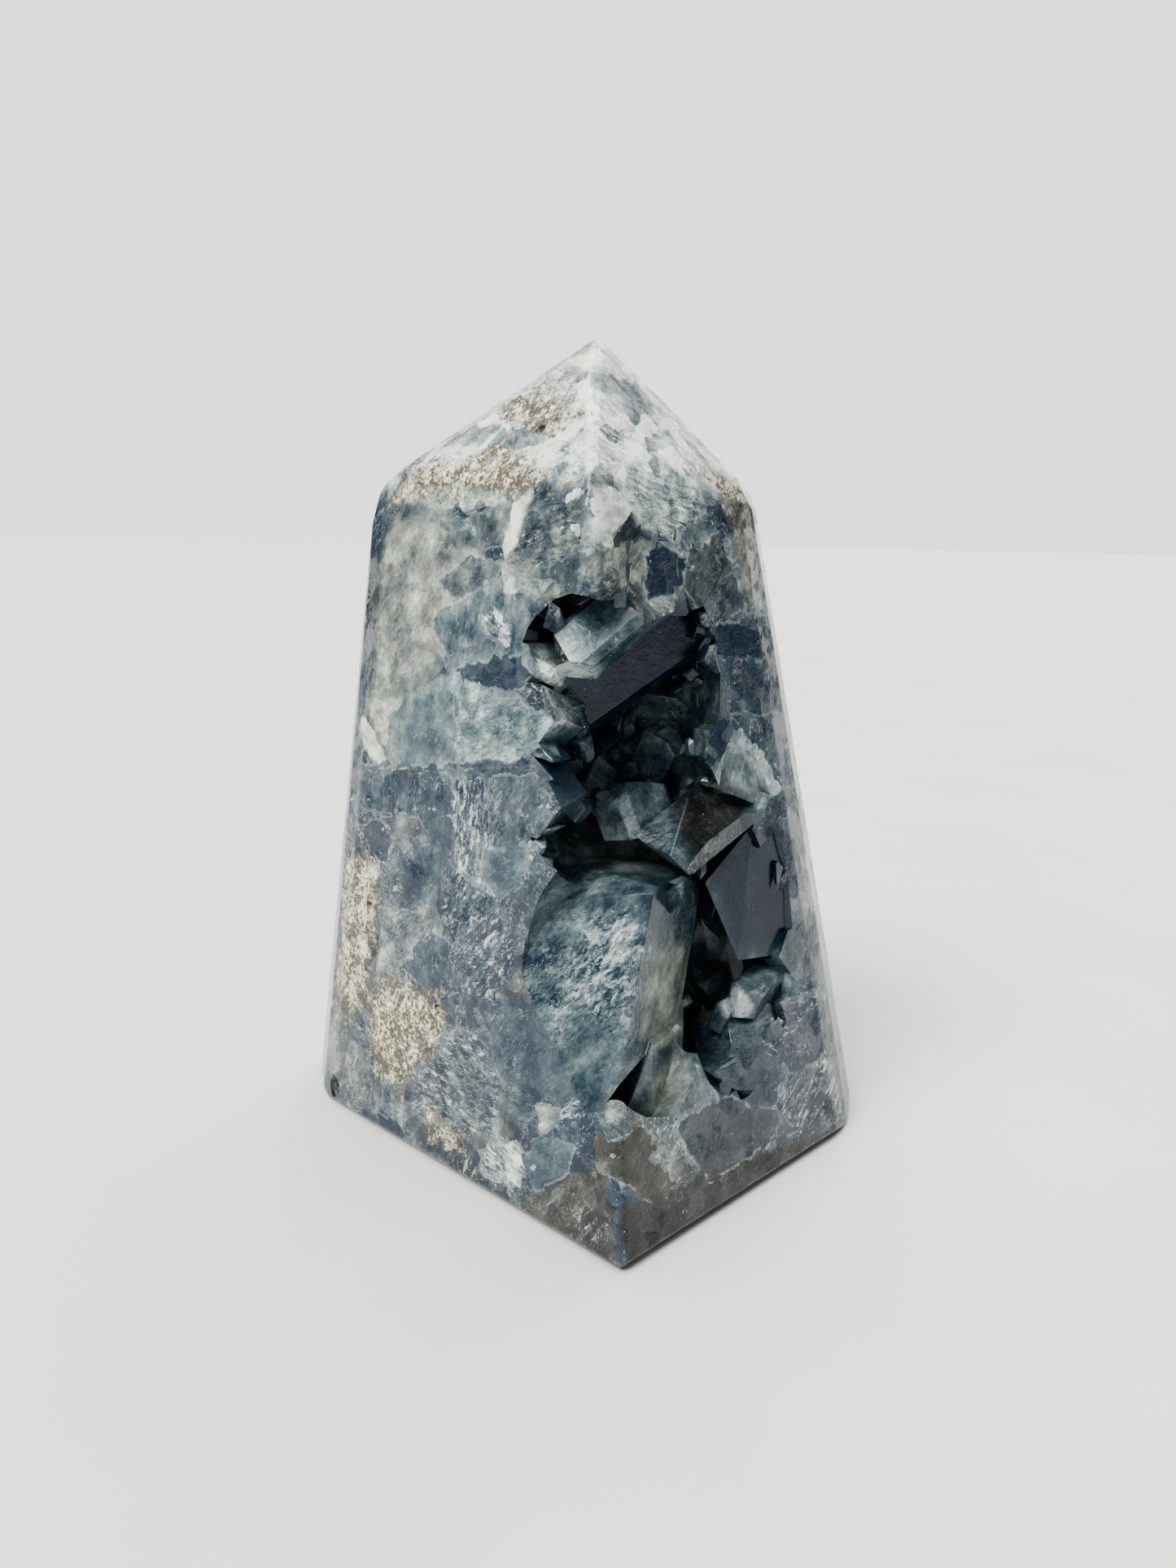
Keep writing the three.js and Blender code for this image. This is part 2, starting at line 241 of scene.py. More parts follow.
def make_block():
    """The block before its pocket was opened: the convex outline of the tower, its edges eased
    by polishing."""
    block = merged_copy("polished_tower", "uncut_block")
    edit(block)
    bpy.ops.mesh.convex_hull()
    stop_editing()
    flatten(block)
    planes = planes_of(block)
    finish_with(
        block, "BEVEL", width=EDGE_ROUND, segments=EDGE_STEPS, limit_method="ANGLE",
        angle_limit=ROUNDED_FROM, use_clamp_overlap=False,
    )
    return block, planes


def planes_of(block):
    """The block's flat faces: which way each looks, and how far out it lies."""
    return [(face.normal.copy(), face.normal.dot(face.center)) for face in block.data.polygons]


def depth_in(planes, point):
    """How far inside the block a point lies."""
    return min(reach - normal.dot(point) for normal, reach in planes)


def draw_in(block):
    """Shrinks the block about its middle by a few thousandths of a millimetre, so that no cut runs
    along a face."""
    middle = Matrix.Translation((0, 0, cad_bounds[1].z / 2))
    block.data.transform(middle @ Matrix.Scale(DRAWN_IN, 4) @ middle.inverted())


def make_tower(block):
    """The stone, cut from the eased block."""
    draw_in(block)
    tower = merged_copy("polished_tower", "polished_stone")
    finish_with(tower, "BOOLEAN", operation="INTERSECT", object=block, solver="EXACT")
    flatten(tower)
    return tower


def make_crystals(block, planes):
    """The crystals, grown out to meet the stone round them and cut flush with its faces."""
    crystals = merged_copy("pocket_crystals", "crystal_lining")
    stone = BVHTree.FromObject(frame["nodes"]["polished_tower"], bpy.context.evaluated_depsgraph_get())

    def is_skin(face):
        if depth_in(planes, face.center) < FLUSH:
            return False
        start = face.center + face.normal * OFF_FACE
        return stone.ray_cast(start, face.normal, SKIN_REACH)[0] is not None

    select_faces(crystals, is_skin)
    bpy.ops.transform.shrink_fatten(value=SEAM, use_even_offset=True)
    stop_editing()
    draw_in(block)
    finish_with(crystals, "BOOLEAN", operation="INTERSECT", object=block, solver="EXACT")
    flatten(crystals)
    skin = BVHTree.FromObject(block, bpy.context.evaluated_depsgraph_get())
    ease_natural_edges(crystals, skin)
    small = make_small_crystals(crystals, planes)
    take_up(crystals, small)
    bpy.ops.object.join()
    for face in crystals.data.polygons:
        face.material_index = 1 if is_cut_flush(skin, face) else 0
    return crystals


def is_cut_flush(skin, face):
    """Whether a face lies in the polished outline."""
    return skin.find_nearest(face.center)[3] < FLUSH


def ease_natural_edges(crystals, skin):
    """Takes the knife edge off the crystals, but not where they were cut flush."""
    mesh = crystals.data
    faces_at = {}
    for face in mesh.polygons:
        normal = None if is_cut_flush(skin, face) else face.normal
        for key in face.edge_keys:
            faces_at.setdefault(key, []).append(normal)
    lengths = {}
    shortest = {}
    for edge in mesh.edges:
        first, second = edge.vertices
        length = (mesh.vertices[first].co - mesh.vertices[second].co).length
        lengths[edge.key] = length
        for end in edge.vertices:
            shortest[end] = min(length, shortest.get(end, length))

    def is_bare(edge):
        normals = faces_at[edge.key]
        if None in normals or lengths[edge.key] < LONG_EDGE:
            return False
        if min(shortest[end] for end in edge.vertices) < SHORT_EDGE:
            return False
        return normals[0].angle(normals[1], 0.0) > SHARPEST

    edit(crystals, "DESELECT", "EDGE")
    stop_editing()
    for edge in mesh.edges:
        edge.select = is_bare(edge)
    bpy.ops.object.mode_set(mode="EDIT")
    bpy.ops.mesh.bevel(offset=CRYSTAL_BEVEL, segments=1, affect="EDGES", clamp_overlap=False)
    stop_editing()


def make_seed_crystal():
    """A small crystal, a millimetre across and a millimetre long, standing on the origin: a
    six-sided prism that ends in a ridge."""
    take_up(frame["nodes"]["polished_tower"])
    bpy.ops.object.select_all(action="DESELECT")
    bpy.ops.mesh.primitive_cylinder_add(
        vertices=SEED_SIDES, radius=0.5 * MM, depth=SEED_PRISM * MM,
        location=(0, 0, 0.5 * SEED_PRISM * MM),
    )
    seed = bpy.context.active_object
    bpy.ops.object.transform_apply(location=True)
    select_faces(seed, lambda face: face.normal.z > 0.9)
    bpy.ops.mesh.extrude_region_move(TRANSFORM_OT_translate={"value": (0, 0, SEED_TIP * MM)})
    bpy.ops.transform.resize(value=SEED_RIDGE)
    stop_editing()
    finish_with(
        seed, "BEVEL", width=SEED_BEVEL, segments=1, limit_method="ANGLE",
        angle_limit=SEED_BEVELLED_FROM,
    )
    return seed


def grow(seed, foot, way, width, length, turn):
    """A copy of the seed crystal, width and length millimetres large, that stands at foot, points
    along way and is turned about it."""
    grown = bpy.data.objects.new("small_crystal", seed.data.copy())
    bpy.context.scene.collection.objects.link(grown)
    upright = way.to_track_quat("Z", "Y").to_matrix().to_4x4()
    size = Matrix.Diagonal((width, FLATNESS * width, length, 1.0))
    grown.data.transform(Matrix.Translation(foot) @ upright @ Matrix.Rotation(turn, 4, "Z") @ size)
    return grown


def any_way(chance):
    """A direction, with no direction likelier than another."""
    height = chance.uniform(-1, 1)
    round_about = chance.uniform(0, 2 * math.pi)
    level = math.sqrt(1 - height * height)
    return Vector((level * math.cos(round_about), level * math.sin(round_about), height))


def open_way(skin, place, normal, chance):
    """The way out of a corner of the pocket, or None where the place lies in the open."""
    blocked = 0
    free = Vector((0, 0, 0))
    for _ in range(PROBES):
        way = any_way(chance)
        if way.dot(normal) < 0:
            way = -way
        if skin.ray_cast(place + normal * PROBE_LIFT * MM, way, CORNER_REACH)[0] is None:
            free += way
        else:
            blocked += 1
    if blocked < CORNER_SHARE * PROBES or free.length == 0:
        return None
    return free.normalized()


def make_small_crystals(crystals, planes):
    """Small crystals in the corners of the pocket and at its rim, cut where they reach the block's
    faces. The corners are found from the open places in the pocket that the record lists."""
    chance = random.Random(RANDOM_SEED)
    skin = BVHTree.FromObject(crystals, bpy.context.evaluated_depsgraph_get())
    seed = make_seed_crystal()
    grown = []
    rooms = [room["box_m"] for room in frame["record"]["physics"]["openings"]]
    while len(grown) < SMALL_CRYSTALS:
        low, high = chance.choice(rooms)
        start = Vector([chance.uniform(*ends) for ends in zip(low, high)])
        place, normal, _, _ = skin.ray_cast(start, any_way(chance))
        if place is None:
            continue
        way = open_way(skin, place, normal, chance)
        if way is None:
            continue
        way = (way + any_way(chance) * STRAY).normalized()
        width = chance.uniform(*SMALL_WIDTHS)
        length = width * chance.uniform(*SMALL_LENGTHS)
        foot = place - way * SMALL_SINK * length * MM
        grown.append(grow(seed, foot, way, width, length, chance.uniform(0, math.pi)))
    for face, foot, tip, width in RIM_CRYSTALS:
        foot, tip = on_face(face, foot), on_face(face, tip)
        way = tip - foot
        grown.append(grow(seed, foot, way.normalized(), width, way.length / MM, 0.0))
    remove(seed)
    for piece in grown:
        cut_flush(piece, planes)
    take_up(*grown)
    bpy.ops.object.join()
    return grown[0]


def on_face(face, place):
    """The point at a place on a face: millimetres across, up and deep."""
    start, across, up, out = face_axes(face)
    return (start + across * place[0] + up * place[1] - out * place[2]) * MM


def cut_flush(piece, planes):
    """Cuts off what stands out of the block's flat faces."""
    for normal, reach in planes:
        limit = reach - UNDER_SKIN
        if max(normal.dot(vertex.co) for vertex in piece.data.vertices) <= limit:
            continue
        edit(piece)
        bpy.ops.mesh.bisect(
            plane_co=normal * limit, plane_no=normal, use_fill=True, clear_outer=True,
        )
        stop_editing()


# Shader helpers

# What the groups pass on as a vector. A colour is called Color, and all else is a number.
VECTORS = ("Place", "Way", "Look", "Middle", "Bent", "Nearly", "Snapped")


def fill(tree, made, sockets):
    """Gives a node's inputs their values or links."""
    for name, value in sockets.items():
        if isinstance(value, bpy.types.NodeSocket):
            tree.links.new(value, made.inputs[name])
        else:
            made.inputs[name].default_value = value
    return made


def put(tree, kind, sockets=None, **settings):
    """Adds a node, with values or links on its inputs."""
    made = tree.nodes.new("ShaderNode" + kind)
    for name, value in settings.items():
        setattr(made, name, value)
    return fill(tree, made, sockets or {})


def calc(tree, operation, *terms, clamp=False):
    made = put(tree, "Math", dict(enumerate(terms)), operation=operation, use_clamp=clamp)
    return made.outputs[0]


def times(tree, first, second):
    return calc(tree, "MULTIPLY", first, second)


def add_share(tree, base, part, share, clamp=False):
    """The base plus this share of the part."""
    return calc(tree, "MULTIPLY_ADD", part, share, base, clamp=clamp)


def centred(tree, value):
    """A value from 0 to 1 as one from -0.5 to 0.5."""
    return calc(tree, "SUBTRACT", value, 0.5)


def most(tree, values):
    """The largest of the values."""
    found = values[0]
    for value in values[1:]:
        found = calc(tree, "MAXIMUM", found, value)
    return found


def pack(tree, first, second=0.0, third=0.0):
    return put(tree, "CombineXYZ", {0: first, 1: second, 2: third}).outputs[0]


def unpack(tree, vector):
    return put(tree, "SeparateXYZ", {0: vector}).outputs


def vector_calc(tree, operation, *terms):
    return put(tree, "VectorMath", dict(enumerate(terms)), operation=operation).outputs[0]


def scaled(tree, vector, factor):
    return put(tree, "VectorMath", {0: vector, "Scale": factor}, operation="SCALE").outputs[0]


def dot(tree, first, second):
    return put(tree, "VectorMath", {0: first, 1: second}, operation="DOT_PRODUCT").outputs["Value"]


def step(tree, value, low, high, to_low=0.0, to_high=1.0):
    """A soft step: to_low below low, to_high above high."""
    sockets = {"Value": value, "From Min": low, "From Max": high, "To Min": to_low, "To Max": to_high}
    return put(tree, "MapRange", sockets, interpolation_type="SMOOTHSTEP").outputs["Result"]


def mix(tree, factor, first, second):
    return put(tree, "Mix", {0: factor, 2: first, 3: second}, data_type="FLOAT").outputs[0]


def mix_vector(tree, factor, first, second):
    return put(tree, "Mix", {0: factor, 4: first, 5: second}, data_type="VECTOR").outputs[1]


def mix_color(tree, factor, first, second, blend="MIX"):
    sockets = {0: factor, 6: first, 7: second}
    return put(tree, "Mix", sockets, data_type="RGBA", blend_type=blend).outputs[2]


def ramp(tree, value, stops):
    """Turns a value into a colour, by a list of values and the colours there."""
    made = put(tree, "ValToRGB", {"Fac": value})
    elements = made.color_ramp.elements
    for _ in stops[2:]:
        elements.new(0.5)
    for element, (place, color) in zip(elements, stops):
        element.position = place
        element.color = (*color, 1.0)
    return made.outputs["Color"]


def noise(tree, place, scale, detail=2.0, rough=0.5):
    """Cloudy noise, with scale clouds to the millimetre: an even value, and three of them as a
    vector."""
    sockets = {"Vector": place, "Scale": scale, "Detail": detail, "Roughness": rough}
    made = put(tree, "TexNoise", sockets)
    return made.outputs[0], made.outputs["Color"]


def start_group(name, inputs, outputs):
    """A new node group with these inputs and outputs: its tree, its inputs and its output node."""
    group = bpy.data.node_groups.new(name, "ShaderNodeTree")
    for side, labels in (("INPUT", inputs), ("OUTPUT", outputs)):
        for label in labels.split():
            kind = "Vector" if label in VECTORS else "Color" if label == "Color" else "Float"
            group.interface.new_socket(label, in_out=side, socket_type="NodeSocket" + kind)
    given = group.nodes.new("NodeGroupInput").outputs
    return group, given, group.nodes.new("NodeGroupOutput")


def use(tree, group, sockets):
    """Adds a group, and gives what it puts out."""
    made = tree.nodes.new("ShaderNodeGroup")
    made.node_tree = group
    return fill(tree, made, sockets).outputs


# Charts of the tower's front faces

def chart(tree, place, face):
    """A place's millimetres across and up a face, with 1 as the third value."""
    start, across, up, out = face_axes(face)
    measured = []
    for way in (across, up, out):
        measured.append(calc(tree, "SUBTRACT", dot(tree, place, way), way.dot(start)))
    away = times(tree, calc(tree, "LESS_THAN", measured[2], -MARK_DEPTH), ASIDE)
    sideways = calc(tree, "ADD", measured[0], away)
    return pack(tree, sideways, measured[1], 1.0)


def charts(tree, place):
    return {face: chart(tree, place, face) for face in FACE_LOOKS}


def beyond(tree, where, corners):
    """How many millimetres a charted place lies outside a convex outline, given anticlockwise."""
    sides = []
    for first, second in zip(corners, corners[1:] + corners[:1]):
        run = Vector(second) - Vector(first)
        outward = Vector((run.y, -run.x)).normalized()
        sides.append(dot(tree, where, (outward.x, outward.y, -outward.dot(Vector(first)))))
    return most(tree, sides)


# Shared effects

def grains_group():
    """Crystals grown against each other: their tone, way, shading from side to side, and middle."""
    group, given, made = start_group("crystal_grains", "Place Size", "Tone Way Lean Middle")
    size = given["Size"]
    fine = scaled(group, given["Place"], calc(group, "DIVIDE", 1.0, size))
    cell = put(group, "TexVoronoi", {"Vector": fine, "Scale": 1.0})
    way = vector_calc(group, "MULTIPLY_ADD", cell.outputs["Color"], (2, 2, 2), (-1, -1, -1))
    offset = vector_calc(group, "SUBTRACT", fine, cell.outputs["Position"])
    fill(group, made, {
        "Tone": unpack(group, cell.outputs["Color"])[0],
        "Way": way,
        "Lean": dot(group, offset, way),
        "Middle": scaled(group, cell.outputs["Position"], size),
    })
    return group


def drawn_out(tree, place, way, share):
    """A place on a scale that is drawn out along the way, the more so the nearer share is to 1."""
    along = times(tree, dot(tree, place, way), -share)
    return vector_calc(tree, "ADD", place, scaled(tree, way, along))


def frost_group():
    """Healed fractures inside a crystal, drawn out along its way: Grit is their ragged grain,
    Stroke short straight scratches of light, Thread fine winding lines and Flake small flat flakes."""
    group, given, made = start_group("frost", "Place Way", "Grit Stroke Thread Flake")
    place = given["Place"]
    way = vector_calc(group, "NORMALIZE", given["Way"])
    drawn = drawn_out(group, place, way, GRIT_DRAWN_OUT)
    pulled = drawn_out(group, place, way, STROKES_DRAWN_OUT)
    # Scratches are the peaks of one noise, and lie close only where a second one is high.
    scratches = step(group, noise(group, pulled, 3.4, 4.0, 0.75)[0], 0.55, 0.68)
    gathered = step(group, noise(group, place, 0.35, 5.0, 0.75)[0], 0.50, 0.64)
    # Threads run where a noise crosses its middle.
    crossing = calc(group, "ABSOLUTE", centred(group, noise(group, drawn, 0.8, 4.0, 0.6)[0]))
    flakes = put(group, "TexVoronoi", {"Vector": drawn, "Scale": 1.4})
    fill(group, made, {
        "Grit": noise(group, drawn, 1.7, 8.0, 0.85)[0],
        "Stroke": times(group, scratches, gathered),
        "Thread": step(group, crossing, 0.002, 0.012, 1.0, 0.0),
        "Flake": unpack(group, flakes.outputs["Color"])[0],
    })
    return group


def specks_group():
    """Tiny bright points of dust and broken grain, scattered evenly and up to SPECK_RADIUS large."""
    group, given, made = start_group("specks", "Place", "Speck")
    cells = put(group, "TexVoronoi", {"Vector": given["Place"], "Scale": 0.9})
    size = unpack(group, cells.outputs["Color"])[0]
    reach = add_share(group, cells.outputs["Distance"], size, -SPECK_RADIUS)
    fill(group, made, {"Speck": step(group, reach, -0.05, 0.0, 1.0, 0.0)})
    return group


# Crystals that the polishing cut through, on each front face: corners across and up, tone from
# dark 0 to white 1, warmth from aqua -1 to brown 1, frost, the angle that the frost runs at in
# degrees, and how soft the outline is in millimetres.
CUT_CRYSTALS = {face: [] for face in FACE_LOOKS}
CUT_CRYSTALS["left"] = [
    # clear slab under the shoulder
    ([(-46, 101.5), (-31.5, 103), (-33, 105), (-51, 105.5), (-50.5, 103)], 0.82, 0, 0.15, 0, 0.4),
    # hazy corner: warm stone under a painted sheen
    ([(-63.5, 81), (-62, 68), (-42.5, 78), (-33.5, 95), (-46.5, 102.5), (-61.5, 101.5)],
     0.69, 0.6, 0.25, 51, 4),
    # pale streak
    ([(-32.5, 97), (-31.5, 93), (-27, 95.5), (-26.5, 104.5), (-30.5, 104)], 1.12, 0.4, 0.7, 73, 2),
    # grey beside the streak
    ([(-30.5, 103), (-39, 101), (-37, 96), (-32, 96.5)], 0.5, 0.3, 0.3, 72, 0.5),
    # flecked panel by the ridge
    ([(-26.5, 104.5), (-32, 93), (-21.5, 92.5), (-16, 96.5), (-16.5, 103.5)], 0.52, 0.35, 0.6, 16, 0.8),
    # pale lip
    ([(-21.5, 92.5), (-32.5, 94.5), (-30.5, 91), (-25, 90)], 0.72, 0.1, 0.5, -11, 0.3),
    # grey over the blue end
    ([(-38.5, 96), (-45.5, 91.5), (-42.5, 89), (-33.5, 92), (-32, 94)], 0.46, 0.3, 0.3, 32, 0.5),
    # blue crystal end
    ([(-47, 86), (-41.5, 77.5), (-28, 76.5), (-23.5, 79), (-26, 88.5), (-32.5, 92)], 0.54, 0, 0.25, 80, 0.3),
    # its dark foot
    ([(-23, 79.5), (-27.5, 82), (-37.5, 80), (-41, 78), (-28, 76.5)], 0.2, 0, 0.1, 6, 0.3),
    # its bright break
    ([(-29.5, 83), (-29, 86), (-33, 88), (-36.5, 86.5), (-34, 84)], 0.75, 0, 1.4, -34, 0.3),
    # warm stone by the aqua pair, under a painted sheen
    ([(-50.5, 74.5), (-63.5, 71.5), (-59.5, 66), (-56.5, 62.5)], 0.72, 0.6, 0.2, 34, 1.5),
    # aqua crystal
    ([(-39, 70), (-41.5, 78), (-50.5, 74.5), (-57, 69.5), (-55.5, 61.5), (-39, 63.5)],
     0.53, -0.6, 0.08, 53, 0.25),
    # paler aqua crystal
    ([(-41.5, 78), (-39, 63.5), (-29.5, 65), (-19.5, 70.5), (-19.5, 73.5), (-27, 76.5)],
     0.64, -0.7, 0.45, 21, 0.25),
    # pale blade
    ([(-58, 62), (-56.5, 63), (-61, 68), (-64.5, 68.5), (-63.5, 64.5)], 0.84, 0.8, 0.2, -41, 0.3),
    # slate below the aqua pair
    ([(-65, 52.5), (-16.5, 61.5), (-21.5, 68.5), (-64, 60)], 0.24, 0.1, 0.5, 9, 0.4),
    # lower slate
    ([(-40.5, 63), (-63, 59.5), (-58, 53.5), (-48, 49), (-39.5, 51)], 0.27, 0, 0.45, 79, 0.6),
    # white vein
    ([(-32.5, 64.5), (-41, 63), (-38, 43.5), (-32.5, 43), (-28, 48)], 0.46, 0, 1.3, 87, 0.8),
    # grey end by the pocket
    ([(-32, 63.5), (-31, 53.5), (-21.5, 55.5), (-16.5, 61), (-23, 66)], 0.36, 0.1, 0.5, 57, 0.3),
    # smooth grey tongue
    ([(-23, 55), (-32.5, 53), (-32.5, 48.5), (-28, 46), (-23, 51)], 0.42, 0, 0.12, 33, 0.3),
    # dark notch
    ([(-56.5, 45.5), (-53, 51), (-59, 53), (-62.5, 51), (-61.5, 48.5)], 0.12, 0.2, 0.1, 11, 0.3),
    # grey beside the notch
    ([(-58, 53.5), (-53.5, 48.5), (-45, 51.5), (-47.5, 55)], 0.45, 0.4, 0.3, 11, 0.5),
    # grey block
    ([(-41, 38.5), (-42.5, 41.5), (-56, 38), (-57, 28), (-51.5, 28), (-47.5, 32)], 0.58, 0.3, 0.6, 48, 0.5),
    # dark diamond
    ([(-51.5, 29.5), (-43.5, 27.5), (-38, 29.5), (-37.5, 37), (-43, 38)], 0.22, 0, 0.35, 87, 0.4),
    # dark grain by the rind
    ([(-36, 29.5), (-40.5, 27.5), (-39.5, 24), (-36.5, 24.5)], 0.1, 0.1, 0.1, 17, 0.3),
    # frosted slate
    ([(-26.5, 30.5), (-22.5, 42), (-28, 46), (-42.5, 50.5), (-41.5, 37.5), (-35, 29.5)],
     0.28, 0, 1.05, 48, 1),
    # blue heart
    ([(-12.5, 19.5), (-4, 27.5), (-19.5, 35), (-31.5, 29), (-25.5, 20)], 0.28, -0.2, 0.3, 49, 1),
    # frosted foot
    ([(-39.5, 23.5), (-49, 6.5), (-39, 5.5), (-25, 9.5), (-25.5, 20), (-31.5, 26)], 0.52, 0.2, 1.1, -3, 1),
    # white patch
    ([(-30, 7), (-28.5, 3), (-21, 4), (-17.5, 9.5), (-21.5, 11.5)], 0.72, 0.2, 1.3, -11, 0.4),
    # bubble
    ([(-19, 18), (-16.5, 14.5), (-13, 18), (-14, 19.5)], 0.62, 0.1, 0.2, 20, 0.3),
    # dark low corner
    ([(-45.5, 3), (-55.5, 3.5), (-49.5, -0.5)], 0.14, 0.2, 0.3, 21, 0.4),
    # grey end at the foot
    ([(-20.5, 8.5), (-17, 5.5), (-11.5, 9.5), (-10.5, 15), (-17.5, 13.5)], 0.36, 0, 0.2, 41, 0.3),
    # brown foot, left
    ([(0, 0), (-4, 16), (-13, 9), (-20.5, 2), (-12.5, 0)], 0.28, 0.9, 0.5, 56, 1.2),
    # left border
    ([(-71, 14), (-69.5, 0.5), (-54, 3), (-55, 8), (-66, 18.5)], 0.5, 0.5, 0.7, 67, 1.5),
]
CUT_CRYSTALS["right"] = [
    # pale chunk
    ([(15, 103), (13, 106.5), (7.5, 106), (7, 99), (10, 98.5)], 0.9, 0.2, 0.15, 1, 0.3),
    # light frosted panel
    ([(32, 106), (13.5, 107), (15, 100.5), (22, 98.5), (31.5, 102)], 0.78, -0.2, 0.75, -6, 0.8),
    # grey shard
    ([(10, 96.5), (12.5, 93.5), (16, 94), (19.5, 99.5), (11.5, 98.5)], 0.56, 0.6, 0.3, 45, 0.3),
    # dark gap
    ([(26.5, 95.5), (20.5, 98.5), (16.5, 96.5), (16.5, 91), (23, 92)], 0.14, 0, 0.1, -1, 0.3),
    # rind at the right shoulder
    ([(43, 106), (34.5, 106.5), (39.5, 89), (44.5, 88.5)], 0.6, 0.9, 0.7, 60, 0.8),
    # grey beneath it
    ([(39, 89), (34, 100), (26.5, 97.5), (24.5, 92), (31, 86.5)], 0.32, 0.4, 0.35, 43, 0.4),
    # slate on the right
    ([(44.5, 87.5), (31, 86.5), (31, 82), (45.5, 80.5)], 0.06, 0, 0.2, -3, 0.3),
    # navy on the right
    ([(45.5, 80.5), (30.5, 82.5), (33, 73.5), (47, 72.5)], 0.24, 0, 0.2, -5, 0.3),
    # smooth slate pane
    ([(40, 35.5), (49.5, 47), (46.5, 56), (35.5, 55.5), (24.5, 49.5), (32.5, 36)], 0.12, -0.1, 0.06, 8, 0.3),
    # grey pane beside it
    ([(39.5, 32), (53.5, 26.5), (53.5, 39), (44, 42.5), (40, 35)], 0.33, 0.2, 0.35, 66, 0.4),
    # pale blue crystal by the pocket
    ([(28, 65.5), (29, 60), (38, 58), (45.5, 60.5), (39, 71.5), (33.5, 71)], 0.66, -0.3, 0.3, 52, 0.3),
    # its bright face
    ([(37.5, 71.5), (35.5, 65), (36, 61.5), (41.5, 68.5)], 0.82, -0.1, 0.9, 52, 0.3),
    # slate beside it
    ([(47, 72.5), (33, 73.5), (45.5, 60), (49, 59.5)], 0.22, 0, 0.3, 52, 0.4),
    # blue chip
    ([(52.5, 27.5), (43, 28), (46, 25), (53.5, 23.5)], 0.5, -0.1, 0.4, -3, 0.3),
    # dark chip
    ([(39.5, 31.5), (32, 31), (43, 27), (53.5, 26.5)], 0.16, 0, 0.2, -3, 0.3),
    # white corner
    ([(52.5, 13.5), (45, 19), (48.5, 11.5), (54, 9)], 0.7, 0.2, 1.4, 32, 0.5),
    # dark crystal in the corner
    ([(43, 9.5), (37, 12), (39, 5.5), (43, 5)], 0.18, 0, 0.1, 32, 0.3),
    # grey chip
    ([(32.5, 25.5), (38, 21), (45.5, 22.5), (41.5, 26)], 0.46, 0, 0.5, 34, 0.3),
    # pale right edge
    ([(48.5, 58.5), (48.5, 50), (51, 38.5), (54, 37), (51, 54.5)], 0.62, 0.7, 0.75, 66, 0.5),
    # chips
    ([(53, 25.5), (29.5, 27), (41.5, 15), (54, 14.5)], 0.02, -0.2, 0.5, -5, 0.5),
    # sparkling corner
    ([(40.5, 16), (37.5, 9.5), (43, 4), (56.5, 2.5), (54.5, 13)], 0.16, 0.2, 1.3, 31, 0.5),
    # smooth grey lens
    ([(13, 16.5), (19, 6), (36.5, 6.5), (37, 10.5), (23.5, 17.5)], 0.14, 0.35, 0.04, -7, 0.3),
    # green-black crystal
    ([(37, 11), (38, 19.5), (29.5, 27), (17.5, 30.5), (23, 17.5)], 0.15, 0, 0.08, -18, 0.4),
    # brown ends
    ([(6, 19.5), (0, 18.5), (0.5, 13), (7, 8), (12, 8)], 0.2, 1, 0.2, 36, 0.3),
    # bright break in them
    ([(9.5, 14.5), (7, 14.5), (11, 10), (11.5, 11.5)], 0.78, 0.4, 0.8, -21, 0.3),
    # brown foot, right
    ([(55, -2), (56, 1.5), (36, 5.5), (0, 10), (0.5, 0)], 0.02, 0.9, 0.3, 8, 1),
]
CUT_CRYSTALS["cap_left"] = [
    # blue on the point
    ([(-10.5, 7.5), (-15.5, 10), (-23.5, 9.5), (-25.5, 5), (-15.5, 5.5)], 0.6, 0, 0.4, -28, 0.5),
    # blue by the edge
    ([(-38, 7), (-26.5, 6.5), (-23.5, 10.5), (-31.5, 11)], 0.64, 0, 0.4, -24, 0.5),
    # white flank
    ([(-5, 8), (-15, 6.5), (-6, -0.5), (0, 0.5)], 0.86, 0.1, 1.3, -28, 1),
    # pale tip
    ([(-20, 22), (-12, 19), (-10.5, 23), (-14, 25)], 0.92, 0.8, 0.3, -31, 0.8),
]
CUT_CRYSTALS["cap_right"] = [
    # blue flank
    ([(10, 15.5), (14.5, 9.5), (20.5, 12.5), (18, 18), (11.5, 19.5)], 0.68, -0.1, 0.5, -55, 0.6),
    # small blue block
    ([(15, 5), (22.5, 6.5), (22, 9.5), (15.5, 8)], 0.55, -0.1, 0.2, 4, 0.3),
    # white flank by the ridge
    ([(6.5, 9.5), (1, 0.5), (10.5, 3), (14.5, 9.5)], 0.84, 0.1, 1.3, -46, 0.8),
    # aqua flank
    ([(24, -1), (18.5, 4), (8.5, 3.5), (6.5, -3.5), (20.5, -6)], 0.82, -0.4, 1, -17, 0.8),
    # grainy far slope
    ([(23, 18.5), (19.5, 15), (28.5, 2), (35, 1.5)], 0.8, 0.5, 1.1, -54, 0.8),
]

